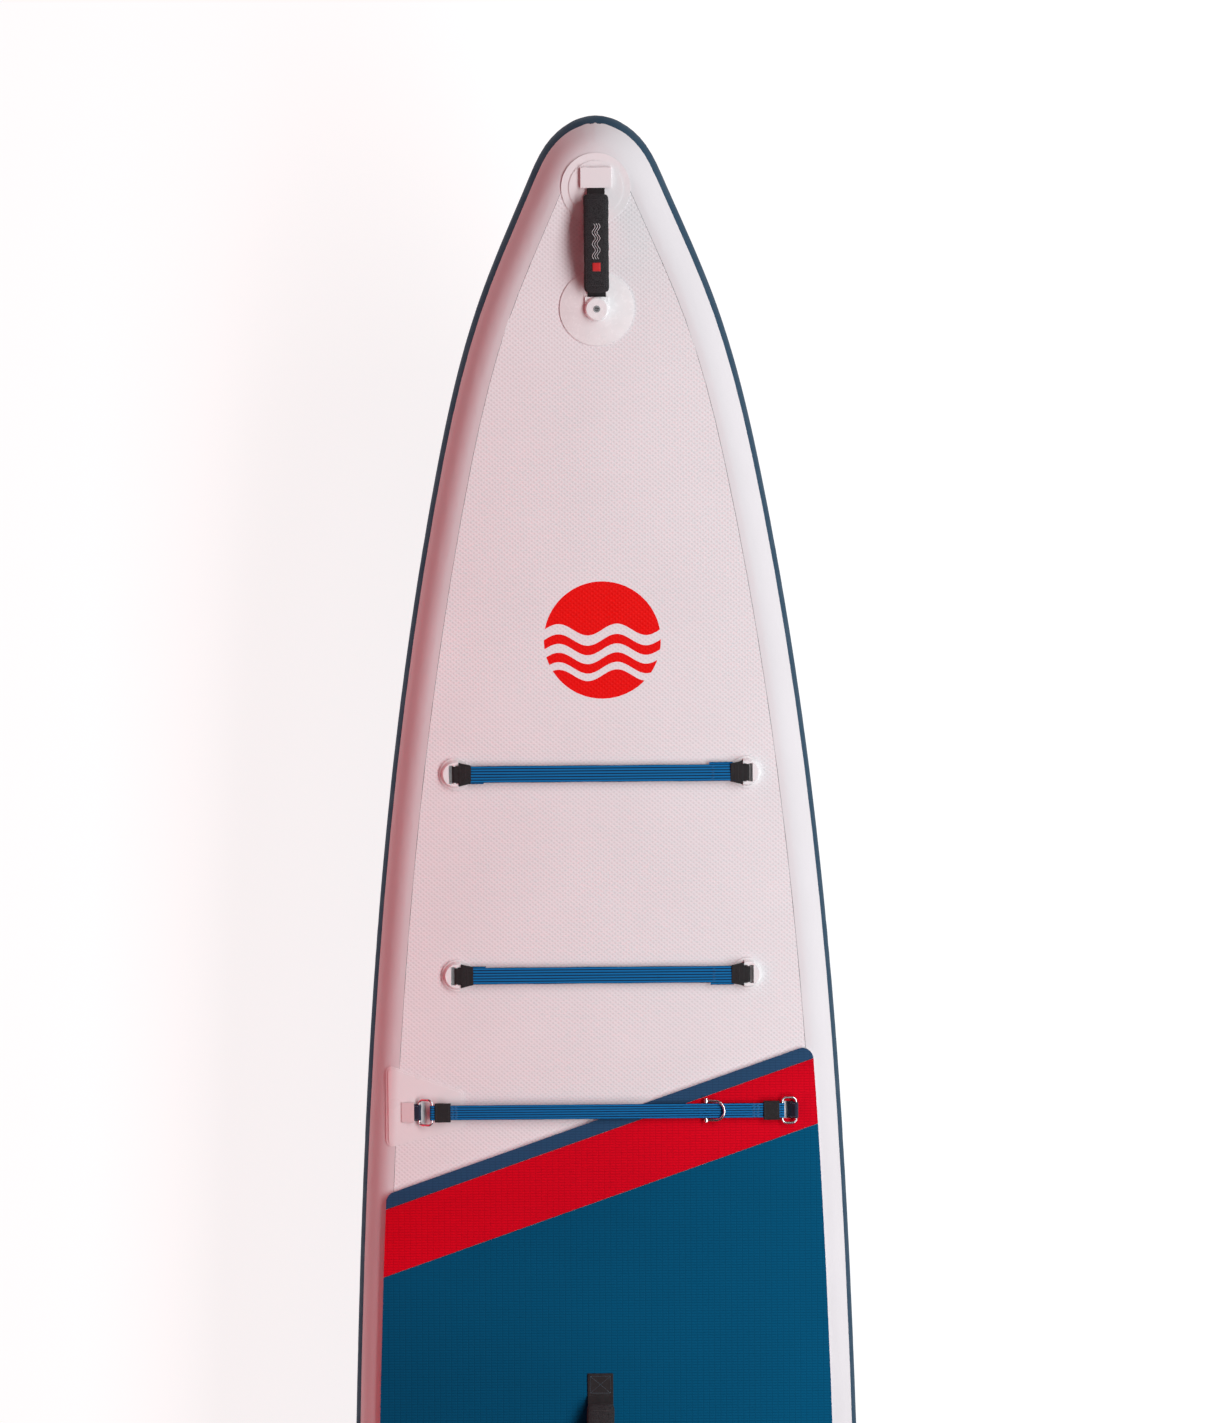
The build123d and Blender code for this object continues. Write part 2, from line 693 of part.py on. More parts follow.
def valve_spring():
    """Coil between the guide and the button."""
    top = -8.0 - slip
    bottom = -18.0 + slip
    wire = 0.6
    turns = 3
    height = top - bottom - 2 * wire
    path = Helix(height / turns, height, guide_radius - 1.2, center=(0, 0, bottom + wire))
    section = Plane(origin=path @ 0, z_dir=path % 0) * Circle(wire)
    return sweep(section, path=path, is_frenet=True)


def valve_diaphragm():
    """Rubber disc on the rod, pressed up against the seat."""
    down = (Align.CENTER, Align.CENTER, Align.MAX)
    disc = Pos(0, 0, glue - valve_depth - slip) * Cylinder(valve_bore_radius - 1.0, 2.0, align=down)
    return disc - Cylinder(stem_radius + 0.05, 4 * valve_depth)


def valve_cap():
    """Cap with a plug, grip lobes and a neck for the tether."""
    up = (Align.CENTER, Align.CENTER, Align.MIN)
    low = glue + valve_flange + slip
    body = Pos(0, 0, low) * Cylinder(cap_radius, cap_thickness, align=up)
    plug = Cylinder(valve_bore_radius - slip, 6.0, align=(Align.CENTER, Align.CENTER, Align.MAX))
    plug -= Cylinder(valve_bore_radius - 3.0, 20.0)
    body += Pos(0, 0, low) * plug
    for turn in range(8):
        notch = Rot(0, 0, 45 * turn) * Pos(cap_radius + 3.0, 0, low + 2.5) * Cylinder(6.0, 20, align=up)
        body -= notch
    body += Pos(0, 0, low + cap_thickness) * Cylinder(cap_neck_radius, 3.0, align=up)
    return body + Pos(0, 0, low + cap_thickness + 3.0) * Cylinder(cap_neck_radius + 3.0, 2.0, align=up)


def valve_tether():
    """Eye round the cap's neck, arm, and collar under nothing but its own grip on the flange."""
    up = (Align.CENTER, Align.CENTER, Align.MIN)
    eye_low = glue + valve_flange + slip + cap_thickness + 0.5
    eye = Pos(0, 0, eye_low) * Cylinder(cap_neck_radius + 5.0, 2.0, align=up)
    eye -= Pos(0, 0, eye_low - 1) * Cylinder(cap_neck_radius + slip, 5.0, align=up)
    out = valve_flange_radius + 4.0
    away = (Align.CENTER, Align.MIN, Align.MIN)
    arm = Pos(0, cap_neck_radius + 3.0, eye_low) * Box(9.0, out - cap_neck_radius, 2.0, align=away)
    drop = Pos(0, out + 1.0, glue) * Box(9.0, 2.0, eye_low + 2.0 - glue, align=away)
    collar = Pos(0, 0, glue) * Cylinder(out + 3.0, 2.0, align=up)
    collar -= Cylinder(valve_flange_radius + slip, 20.0)
    return eye + arm + drop + collar


# ---- leash point ----
def leash_loop():
    """Webbing loop round the ring's bar with a sewn foot going forward."""
    drop = degrees(asin((leash_bar_height - 2.9) / 20.0))
    ring = Rot(0, 0, 90) * Rot(drop, 0, 0) * loop(leash_wire, webbing, 20.0, 24.0)
    base = glue + ply + glue
    foot = Pos(19.0, 0, 0) * Box(24.0, 24.0, 2 * webbing, align=(Align.MIN, Align.CENTER, Align.MIN))
    return on_deck(leash_station) * (Pos(0, 0, leash_bar_height) * ring + Pos(0, 0, base) * foot)


def leash_ring():
    """D-ring lying towards the tail, its bar along Y."""
    half = leash_ring_width / 2 - leash_wire
    leg = leash_ring_length - half
    path = (Line((0, half), (-leg, half))
            + ThreePointArc((-leg, half), (-leg - half, 0), (-leg, -half))
            + Line((-leg, -half), (0, -half)))
    section = Plane(origin=(0, half, 0), z_dir=(-1, 0, 0)) * Circle(leash_wire)
    body = sweep(section, path=path)
    body += Rot(90, 0, 0) * Cylinder(leash_wire, 2 * half)
    for side in (-1, 1):
        body += Pos(0, side * half, 0) * Sphere(leash_wire)
    return on_deck(leash_station, 0, leash_bar_height) * body


# ---- fin ----
def fin_box():
    """Glued base with a channel: a slot, its side groove and rounded ends."""
    up = (Align.CENTER, Align.CENTER, Align.MIN)
    mouth = fin_depth
    plate_low = mouth + fin_box_drop - glue - fin_base
    outline = RectangleRounded(fin_base_length, fin_base_width, 30)
    plate = Pos(0, 0, plate_low) * extrude(outline, amount=fin_base)
    channel = extrude(RectangleRounded(fin_box_length, fin_box_width, 8), amount=plate_low - mouth + 0.5)
    body = plate + Pos(0, 0, mouth) * channel
    slot = Pos(0, 0, mouth) * extrude(SlotOverall(slot_length, slot_width), amount=2 * slot_depth, both=True)
    body -= slot & Pos(0, 0, mouth - 1) * Box(slot_length, 40, slot_depth + 1, align=up)
    groove = Box(slot_length - slot_width, groove_width, groove_height, align=up)
    groove = Pos(0, 0, mouth + groove_floor) * groove
    return Pos(fin_box_station, 0, 0) * (body - groove)


def foil(nose, chord, thickness, height):
    """Closed symmetric foil section, its leading edge towards the nose."""
    shape = [(0.08, 0.36), (0.3, 0.5), (0.6, 0.38), (1.0, 0.08)]
    side = [(nose - x * chord, y * thickness, height) for x, y in shape]
    other = [(x, -y, z) for x, y, z in side]
    edge = (nose, 0, height)
    port = Spline([edge] + side, tangents=[(0, 1, 0), (-1, -0.12, 0)], tangent_scalars=[0.6, 1])
    starboard = Spline([edge] + other, tangents=[(0, -1, 0), (-1, 0.12, 0)], tangent_scalars=[0.6, 1])
    return Wire([port, Line(side[-1], other[-1]), starboard])


def fin():
    """Raked blade with its base tab and the tongue for the screw."""
    up = (Align.CENTER, Align.CENTER, Align.MIN)
    gap = 0.4
    root = fin_depth - gap
    sections = []
    for i in range(7):
        share = i / 6
        chord = fin_chord + (fin_tip_chord - fin_chord) * share ** 1.6
        nose = fin_station + fin_chord / 2 - fin_rake * share ** 1.5
        sections.append(foil(nose, chord, 9.0 - 5.5 * share, root * (1 - share)))
    blade = Solid.make_loft(sections)
    tab = Pos(fin_station, 0, root - 1) * Box(fin_tab_length, 9.0, fin_tab_height + 1, align=up)
    tongue_low = fin_depth + 3.2
    tongue = Pos(fin_station + fin_tab_length / 2 - 1, 0, tongue_low)
    tongue = tongue * Box(fin_tongue, 9.0, 4.0, align=(Align.MIN, Align.CENTER, Align.MIN))
    hole = Pos(fin_screw_x(), 0, tongue_low) * Cylinder(fin_screw_radius + pin_clearance, 20)
    return blade + tab + tongue - hole


def fin_screw_x():
    """Distance forward of the fin's screw, along the board."""
    return fin_station + fin_tab_length / 2 + fin_tongue / 2


def fin_screw():
    """Slotted screw up through the tongue into the plate."""
    down = (Align.CENTER, Align.CENTER, Align.MAX)
    up = (Align.CENTER, Align.CENTER, Align.MIN)
    tongue_low = fin_depth + 3.2
    head = Pos(0, 0, tongue_low - 0.1) * Cylinder(3.9, 2.6, align=down)
    head -= Pos(0, 0, tongue_low - 2.7) * Box(10, 1.2, 1.2, align=up)
    shank = Pos(0, 0, tongue_low - 0.5) * Cylinder(fin_screw_radius, 13.0, align=up)
    return Pos(fin_screw_x(), 0, 0) * (head + shank)


def fin_plate():
    """Threaded plate that runs in the groove."""
    low = fin_depth + groove_floor + 0.3
    plate = Box(12.0, groove_width - 0.8, groove_height - 0.6, align=(Align.CENTER, Align.CENTER, Align.MIN))
    plate -= Cylinder(fin_screw_radius + pin_clearance, 30)
    return Pos(fin_screw_x(), 0, low) * plate


# ---- the whole board ----
def board():
    """Every piece by name."""
    pieces = {"deck_skin": deck_skin(), "hull_skin": hull_plate(-deck, skin - deck)}
    pieces["drop_stitch_yarns"] = Compound(drop_stitch_yarns())
    strips = {"rail_upper": (band_angle, 90, seam / 2, 0),
              "rail_band": (-band_angle, band_angle, seam / 2, seam / 2),
              "rail_lower": (-90, -band_angle, 0, seam / 2)}
    for name, sizes in strips.items():
        port = rim_strip(*sizes)
        pieces[name + "_port"] = port
        pieces[name + "_starboard"] = mirror(port, about=Plane.XZ)
    names = ["deck_pad_navy", "deck_pad_red", "deck_pad_teal"]
    pieces.update(zip(names, deck_pads()))
    names = ["nose_patch_base", "nose_patch_cover", "nose_handle_tab", "nose_handle_webbing",
             "nose_handle_grip"]
    pieces.update(zip(names, nose_stack()))
    pieces["accessory_mount"] = accessory_mount()
    pieces["accessory_insert"] = accessory_insert()
    for row, station in cargo_stations.items():
        for side, frame in cargo_places(station).items():
            pieces[f"cargo_anchor_{row}_{side}"] = frame * cargo_anchor()
            pieces[f"cargo_strap_end_{row}_{side}"] = frame * cargo_strap_end()
        lift = glue + rise_of(anchor_radius)
        pieces[f"cargo_strap_{row}"] = on_deck(station, 0, lift) * cargo_strap()
    pieces["side_patch_base"] = patch_ply(glue, 0)
    pieces["side_patch_cover"] = patch_ply(2 * glue + ply, patch_border)
    pieces["side_loop_pocket"] = loop_pocket()
    pieces["side_loop_port"], pieces["side_loop_starboard"] = side_loops()
    for side, frame in zip(("port", "starboard"), side_frames()):
        pieces["side_ring_" + side] = frame * side_ring()
    pieces["paddle_strap"] = paddle_strap()
    pieces["strap_cuff_port"], pieces["strap_cuff_starboard"] = cuffs()
    pieces["shackle_bow"] = shackle_bow()
    pieces["shackle_pin"] = shackle_pin()
    feet = glue + pad_thickness + glue + web_thickness / 2
    frame = on_deck(centre_handle_station, centre_handle_port, feet)
    pieces["centre_handle_webbing"] = frame * webbing_handle(centre_handle_span, centre_handle_rise,
                                                             centre_web_width, centre_foot, centre_foot)
    pieces["centre_handle_grip"] = frame * grip(centre_handle_span, centre_handle_rise, centre_web_width,
                                                centre_web_width + 4)
    patch = extrude(RectangleRounded(tail_patch_length, tail_patch_width, 25), amount=ply)
    pieces["tail_handle_patch"] = on_deck(tail_handle_station, 0, glue) * patch
    frame = on_deck(tail_handle_station, 0, 2 * glue + ply + web_thickness / 2)
    pieces["tail_handle_webbing"] = frame * webbing_handle(tail_handle_span, tail_handle_rise,
                                                           nose_web_width, tail_foot, tail_foot)
    pieces["tail_handle_grip"] = frame * grip(tail_handle_span, tail_handle_rise, nose_web_width,
                                              nose_grip_width)
    for name, make in (("valve_body", valve_body), ("valve_nut", valve_nut), ("valve_stem", valve_stem),
                       ("valve_spring", valve_spring), ("valve_diaphragm", valve_diaphragm),
                       ("valve_cap", valve_cap), ("valve_tether", valve_tether)):
        pieces[name] = valve_frame() * make()
    disc = Cylinder(leash_patch_radius, ply, align=(Align.CENTER, Align.CENTER, Align.MIN))
    pieces["leash_patch"] = on_deck(leash_station, 0, glue) * disc
    pieces["leash_loop"] = leash_loop()
    pieces["leash_ring"] = leash_ring()
    pieces["fin_box"] = fin_box()
    pieces["fin"] = fin()
    pieces["fin_screw"] = fin_screw()
    pieces["fin_plate"] = fin_plate()
    return pieces


if __name__ == "__main__":
    os.makedirs("parts", exist_ok=True)
    for name, piece in board().items():
        export_step(piece, f"parts/{name}.step")
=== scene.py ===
import math
import bmesh
import bpy
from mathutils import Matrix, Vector


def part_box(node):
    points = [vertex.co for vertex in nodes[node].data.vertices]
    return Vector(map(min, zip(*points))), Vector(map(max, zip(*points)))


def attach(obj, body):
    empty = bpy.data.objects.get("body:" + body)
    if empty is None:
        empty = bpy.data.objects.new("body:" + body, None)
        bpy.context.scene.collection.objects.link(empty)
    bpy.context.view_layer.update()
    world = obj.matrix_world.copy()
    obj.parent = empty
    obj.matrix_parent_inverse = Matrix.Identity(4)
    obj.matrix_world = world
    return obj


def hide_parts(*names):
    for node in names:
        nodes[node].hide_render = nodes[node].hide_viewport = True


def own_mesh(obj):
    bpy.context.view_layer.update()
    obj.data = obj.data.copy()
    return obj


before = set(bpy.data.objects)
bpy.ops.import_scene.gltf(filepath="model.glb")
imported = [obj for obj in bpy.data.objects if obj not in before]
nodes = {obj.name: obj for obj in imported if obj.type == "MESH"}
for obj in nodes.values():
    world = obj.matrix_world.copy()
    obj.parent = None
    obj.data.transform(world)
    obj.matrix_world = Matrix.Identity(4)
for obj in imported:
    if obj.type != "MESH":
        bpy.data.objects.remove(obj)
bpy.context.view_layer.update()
scene = bpy.context.scene
scene.view_settings.view_transform = "Standard"

WAVE_PITCH = 0.314159        # pitch of the wave texture at a scale of 1
STRAP_WIDTH = 0.0246         # short elastic straps


# ---- camera and stage ----
def look_down():
    """Camera high over the front half of the board, its top towards the nose."""
    data = bpy.data.cameras.new("camera")
    data.lens = 92.4
    data.sensor_width = 36.0
    data.clip_end = 50.0
    camera = bpy.data.objects.new("camera", data)
    scene.collection.objects.link(camera)
    deck_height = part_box("deck_pad_teal")[1][2]
    camera.location = (1.035, -0.010, deck_height - 0.08 + 5.5)
    camera.rotation_euler = (0, 0, -math.pi / 2 - 0.0083)
    scene.camera = camera


def area(name, place, target, size, power, colour=(1, 1, 1)):
    """Soft rectangular light at a place, aimed at a target."""
    data = bpy.data.lights.new(name, "AREA")
    data.shape = "RECTANGLE"
    data.size, data.size_y = size
    data.energy = power
    data.color = colour
    light = bpy.data.objects.new(name, data)
    light.location = place
    light.visible_camera = False
    light.rotation_euler = (Vector(target) - Vector(place)).to_track_quat("-Z", "Y").to_euler()
    scene.collection.objects.link(light)


def studio():
    """White floor, pale world and soft lights: warm pink from port, white from starboard."""
    world = bpy.data.worlds.new("world")
    world.use_nodes = True
    world.node_tree.nodes["Background"].inputs[0].default_value = (1.0, 1.0, 1.0, 1)
    world.node_tree.nodes["Background"].inputs[1].default_value = 0.035
    scene.world = world
    mesh = bpy.data.meshes.new("floor")
    reach = 30.0
    mesh.from_pydata([(-reach, -reach, -0.002), (reach, -reach, -0.002), (reach, reach, -0.002),
                      (-reach, reach, -0.002)], [], [(0, 1, 2, 3)])
    floor = bpy.data.objects.new("floor", mesh)
    scene.collection.objects.link(floor)
    mat = bpy.data.materials.new("floor")
    mat.use_nodes = True
    shader = mat.node_tree.nodes["Principled BSDF"]
    shader.inputs["Base Color"].default_value = (0.25, 0.25, 0.25, 1)
    shader.inputs["Roughness"].default_value = 0.9
    shader.inputs["Specular IOR Level"].default_value = 0.0
    shader.inputs["Emission Color"].default_value = (1, 1, 1, 1)
    shader.inputs["Emission Strength"].default_value = 0.86
    mesh.materials.append(mat)
    area("key", (0.9, -1.75, 2.55), (0.9, 0.0, 0.35), (5.2, 0.9), 116, (1.0, 0.985, 1.0))
    area("over", (0.6, -0.4, 4.5), (0.6, 0, 0.3), (4.0, 2.0), 8)
    area("port", (0.8, 0.95, 0.96), (0.8, 0.15, 0.37), (5.0, 0.25), 10.5, (1.0, 0.012, 0.05))


# ---- materials ----
class Finish:
    """Small builder round one Principled material."""

    def __init__(self, name):
        self.material = bpy.data.materials.new(name)
        self.material.use_nodes = True
        self.tree = self.material.node_tree
        self.shader = self.tree.nodes["Principled BSDF"]
        self.height = None
        self.coords = self.tree.nodes.new("ShaderNodeTexCoord")

    def node(self, kind, inputs=(), **settings):
        made = self.tree.nodes.new(kind)
        for key, value in settings.items():
            setattr(made, key, value)
        for key, value in dict(inputs).items():
            if hasattr(value, "is_output") or isinstance(value, bpy.types.NodeSocket):
                self.tree.links.new(value, made.inputs[key])
            else:
                made.inputs[key].default_value = value
        return made

    def mapped(self, scale=(1, 1, 1), turn=(0, 0, 0)):
        """Object coordinates in metres, turned and scaled."""
        made = self.node("ShaderNodeMapping", {"Vector": self.coords.outputs["Object"]})
        made.inputs["Scale"].default_value = scale
        made.inputs["Rotation"].default_value = turn
        return made.outputs["Vector"]

    def noise(self, size, detail=2.0, stretch=(1, 1, 1), rough=0.5):
        made = self.node("ShaderNodeTexNoise", {"Vector": self.mapped(stretch), "Scale": 1.0 / size,
                                                "Detail": detail, "Roughness": rough})
        return made.outputs["Fac"]

    def wave(self, pitch, axis="X", turn=(0, 0, 0)):
        """Sine bands with a pitch in metres."""
        inputs = {"Vector": self.mapped(turn=turn), "Scale": WAVE_PITCH / pitch, "Distortion": 0.0,
                  "Detail": 0.0}
        made = self.node("ShaderNodeTexWave", inputs, bands_direction=axis, wave_profile="SIN")
        return made.outputs["Fac"]

    def maths(self, kind, a, b=0.0):
        return self.node("ShaderNodeMath", {0: a, 1: b}, operation=kind).outputs[0]

    def ramp(self, fac, stops):
        made = self.node("ShaderNodeValToRGB", {"Fac": fac})
        ramp = made.color_ramp
        while len(ramp.elements) < len(stops):
            ramp.elements.new(0.5)
        for element, (place, colour) in zip(ramp.elements, stops):
            element.position = place
            element.color = (*colour, 1)
        return made.outputs["Color"]

    def colour(self, value):
        if isinstance(value, tuple):
            self.shader.inputs["Base Color"].default_value = (*value, 1)
        else:
            self.tree.links.new(value, self.shader.inputs["Base Color"])

    def rough(self, value):
        if isinstance(value, float):
            self.shader.inputs["Roughness"].default_value = value
        else:
            self.tree.links.new(value, self.shader.inputs["Roughness"])

    def bump(self, height, distance, strength=1.0):
        settings = {"Height": height, "Distance": distance, "Strength": strength}
        made = self.node("ShaderNodeBump", settings)
        if self.height:
            self.tree.links.new(self.height, made.inputs["Normal"])
        self.height = made.outputs["Normal"]
        self.tree.links.new(self.height, self.shader.inputs["Normal"])

    def set(self, **values):
        for key, value in values.items():
            self.shader.inputs[key.replace("_", " ")].default_value = value


def mix(a, b, share):
    return tuple(x + (y - x) * share for x, y in zip(a, b))


def coated(name, colour, gloss=0.36, weave=0.25, pitch=0.0052, emblem=False, shine=0.3):
    """PVC-coated fabric: a knit showing faintly through, slow tone changes."""
    f = Finish(name)
    tone = f.ramp(f.noise(0.16, 3.0), [(0.3, mix(colour, (0, 0, 0), 0.035)), (0.7, colour)])
    one = f.wave(pitch, "X", (0, 0, math.radians(40)))
    two = f.wave(pitch, "X", (0, 0, math.radians(-40)))
    knit = f.maths("MULTIPLY", one, two)
    share = f.maths("MULTIPLY", knit, 0.28 * weave)
    shade = f.node("ShaderNodeMix", {"Factor": share, 6: tone}, data_type="RGBA")
    shade.inputs[7].default_value = (*mix(colour, (0, 0, 0), 0.5), 1)
    result = shade.outputs[2]
    if emblem:
        disc = wave_disc(f, (1.140, -0.004), 0.086)
        ink = f.node("ShaderNodeMix", {"Factor": disc, 6: result}, data_type="RGBA")
        ink.inputs[7].default_value = (0.78, 0.0008, 0.0006, 1)
        result = ink.outputs[2]
    f.colour(result)
    f.rough(f.ramp(f.noise(0.03, 2.0), [(0.3, (gloss - 0.05,) * 3), (0.7, (gloss + 0.08,) * 3)]))
    f.bump(knit, 0.0005, weave)
    f.bump(f.noise(0.05, 1.0), 0.0012, 0.12)
    f.set(Coat_Weight=0.2 * shine, Coat_Roughness=0.3, Specular_IOR_Level=shine)
    return f.material


def wave_disc(f, centre, radius):
    """1 inside a disc, except for three wave-shaped bands across it."""
    parts = f.node("ShaderNodeSeparateXYZ", {0: f.coords.outputs["Object"]}).outputs
    along = f.maths("SUBTRACT", parts["X"], centre[0])
    across = f.maths("SUBTRACT", parts["Y"], centre[1])
    square = f.maths("ADD", f.maths("MULTIPLY", along, along), f.maths("MULTIPLY", across, across))
    inside = f.maths("LESS_THAN", square, radius ** 2)
    sway = f.maths("MULTIPLY", f.maths("SINE", f.maths("MULTIPLY", across, 2 * math.pi / 0.086)), 0.0085)
    level = f.maths("ADD", along, sway)
    for place, half in ((-0.046, 0.0055), (-0.020, 0.0065), (0.008, 0.0075)):
        gap = f.maths("GREATER_THAN", f.maths("ABSOLUTE", f.maths("SUBTRACT", level, place)), half)
        inside = f.maths("MULTIPLY", inside, gap)
    return inside


def foam(name, colour, turn):
    """EVA pad: pressed grooves in short bricks and open-cell grain, with painted shade in the grooves and a
    painted highlight on the sides and bevelled top edge.
    """
    f = Finish(name)
    grain = f.noise(0.0011, 2.0)
    lines = f.wave(0.0040, "X", (0, 0, turn))
    bricks = f.wave(0.0085, "Y", (0, 0, turn))
    cut = f.maths("MAXIMUM", f.ramp(lines, [(0.0, (1, 1, 1)), (0.28, (0, 0, 0))]),
                  f.maths("MULTIPLY", f.ramp(bricks, [(0.0, (1, 1, 1)), (0.12, (0, 0, 0))]), 0.6))
    light = f.ramp(f.noise(0.22, 3.0), [(0.25, mix(colour, (0, 0, 0), 0.10)), (0.75, colour)])
    # painted shade: the pressed grooves and brick joints are darkened in colour, on top of their bump
    groove_shaded = f.node("ShaderNodeMix", {"Factor": f.maths("MULTIPLY", cut, 0.32), 6: light}, data_type="RGBA")
    groove_shaded.inputs[7].default_value = (*mix(colour, (0, 0, 0), 0.7), 1)
    # painted highlight: faces turned sideways (the pad's sides and bevelled top edge) are painted pale grey,
    # while the top keeps the foam colour
    normal = f.node("ShaderNodeNewGeometry").outputs["True Normal"]
    facing = f.node("ShaderNodeSeparateXYZ", {0: normal}).outputs["Z"]
    level = f.ramp(facing, [(0.35, (0, 0, 0)), (0.6, (1, 1, 1))])
    edge_highlighted = f.node("ShaderNodeMix", {"Factor": level, 7: groove_shaded.outputs[2]}, data_type="RGBA")
    edge_highlighted.inputs[6].default_value = (0.55, 0.56, 0.60, 1)
    f.colour(edge_highlighted.outputs[2])
    f.rough(0.92)
    f.bump(cut, -0.0006, 0.5)
    f.bump(grain, 0.0003, 0.45)
    f.set(Specular_IOR_Level=0.06)
    return f.material


def woven(name, colour, pitch=0.0016, along="Y", gloss=0.75, sheen=0.06):
    """Narrow woven webbing: ribs along it, crossed by fine picks."""
    f = Finish(name)
    across = "X" if along == "Y" else "Y"
    ribs = f.wave(pitch, across)
    picks = f.wave(pitch * 0.7, along)
    f.colour(f.ramp(f.maths("MULTIPLY", ribs, picks), [(0.0, mix(colour, (0, 0, 0), 0.55)),
                                                      (0.8, mix(colour, (1, 1, 1), 0.05))]))
    f.rough(gloss)
    f.bump(ribs, 0.0005, 0.7)
    f.bump(picks, 0.0003, 0.6)
    f.bump(f.noise(0.0006, 1.0), 0.0001, 0.4)
    f.set(Sheen_Weight=sheen, Sheen_Roughness=0.4, Specular_IOR_Level=0.15)
    return f.material


def elastic(name, middle, stripes=6, width=STRAP_WIDTH):
    """Bungee tape across X: blue lanes between black lines, a fine rib across."""
    f = Finish(name)
    place = f.node("ShaderNodeSeparateXYZ", {0: f.coords.outputs["Object"]}).outputs["X"]
    lane = f.maths("DIVIDE", f.maths("SUBTRACT", place, middle), width)
    saw = f.maths("PINGPONG", f.maths("MULTIPLY", f.maths("ADD", lane, 0.5), float(stripes)), 0.5)
    weave = f.wave(0.0012, "Y")
    blue = f.ramp(weave, [(0.0, (0.001, 0.10, 0.28)), (1.0, (0.003, 0.20, 0.52))])
    lanes = f.ramp(saw, [(0.13, (0, 0, 0)), (0.20, (1, 1, 1))])
    made = f.node("ShaderNodeMix", {"Factor": lanes, 7: blue}, data_type="RGBA")
    made.inputs[6].default_value = (0.001, 0.006, 0.012, 1)
    f.colour(made.outputs[2])
    f.rough(0.62)
    f.bump(f.ramp(saw, [(0.0, (0, 0, 0)), (0.35, (1, 1, 1))]), 0.0005, 0.8)
    f.bump(weave, 0.0002, 0.7)
    f.set(Sheen_Weight=0.03, Sheen_Roughness=0.35, Specular_IOR_Level=0.12)
    return f.material


def moulded(name, colour, gloss=0.3, clear=0.0):
    """Moulded plastic with a faint flow mark and fine pitting."""
    f = Finish(name)
    f.colour(f.ramp(f.noise(0.02, 2.0), [(0.3, mix(colour, (0, 0, 0), 0.05)), (0.7, colour)]))
    f.rough(f.ramp(f.noise(0.006, 2.0), [(0.3, (gloss - 0.06,) * 3), (0.7, (gloss + 0.1,) * 3)]))
    f.bump(f.noise(0.0012, 2.0), 0.0001, 0.25)
    f.set(Subsurface_Weight=clear, Subsurface_Radius=(0.01, 0.01, 0.01), Coat_Weight=0.2)
    return f.material


def metal(name, colour, rough=0.22):
    """Drawn metal with fine handling marks."""
    f = Finish(name)
    f.colour(f.ramp(f.noise(0.008, 3.0), [(0.3, mix(colour, (0, 0, 0), 0.12)), (0.7, colour)]))
    f.rough(f.ramp(f.noise(0.002, 3.0, (1, 6, 1)), [(0.3, (rough - 0.08,) * 3), (0.7, (rough + 0.12,) * 3)]))
    f.bump(f.noise(0.0015, 2.0, (1, 8, 1)), 0.00005, 0.3)
    f.set(Metallic=1.0)
    return f.material


def quilted(name, colour):
    """Neoprene cover with a fine knit."""
    f = Finish(name)
    knit = f.node("ShaderNodeTexVoronoi", {"Vector": f.mapped(), "Scale": 900.0}).outputs["Distance"]
    f.colour(f.ramp(knit, [(0.0, mix(colour, (1, 1, 1), 0.03)), (0.8, mix(colour, (0, 0, 0), 0.5))]))
    f.rough(0.8)
    f.bump(knit, 0.0003, 0.6)
    f.bump(f.noise(0.012, 2.0), 0.0012, 0.25)
    f.set(Sheen_Weight=0.08, Sheen_Roughness=0.45, Specular_IOR_Level=0.2)
    return f.material


def smooth(obj, angle=35):
    """Rounded shading with hard edges above an angle."""
    obj.data.shade_smooth()
    obj.data.set_sharp_from_angle(angle=math.radians(angle))


finishes = {
    "deck": coated("deck_pvc", (0.79, 0.77, 0.79), 0.5, 0.6, emblem=True, shine=0.15),
    "tape": coated("rail_pvc", (0.69, 0.67, 0.69), 0.52, 0.04, shine=0.1),
    "patch": coated("patch_pvc", (0.80, 0.775, 0.79), 0.3, 0.04, shine=0.35),
    "band": coated("band_pvc", (0.020, 0.058, 0.100), 0.6, 0.04, shine=0.05),
    "hull": coated("hull_pvc", (0.010, 0.10, 0.19), 0.36, 0.4),
    "navy": foam("foam_navy", (0.024, 0.075, 0.160), 0.0),
    "red": foam("foam_red", (0.66, 0.0015, 0.014), 0.0),
    "teal": foam("foam_teal", (0.0008, 0.088, 0.190), 0.0),
    "black_x": woven("webbing_black_along", (0.018, 0.018, 0.02), along="X"),
    "black_y": woven("webbing_black", (0.018, 0.018, 0.02), along="Y"),
    "navy_web": woven("webbing_navy", (0.016, 0.035, 0.085), along="Y"),
    "white_plastic": moulded("moulded_white", (0.83, 0.83, 0.84), 0.22, 0.15),
    "black_plastic": moulded("moulded_black", (0.025, 0.026, 0.028), 0.35),
    "grey_plastic": moulded("moulded_grey", (0.16, 0.17, 0.19), 0.4),
    "seal": moulded("seal_rubber", (0.03, 0.03, 0.032), 0.6),
    "steel": metal("stainless", (0.74, 0.74, 0.76)),
    "brass": metal("brass", (0.72, 0.52, 0.22), 0.3),
    "grip": quilted("grip_cover", (0.02, 0.02, 0.023)),
    "yarn": woven("yarn", (0.8, 0.8, 0.78), along="X"),
}


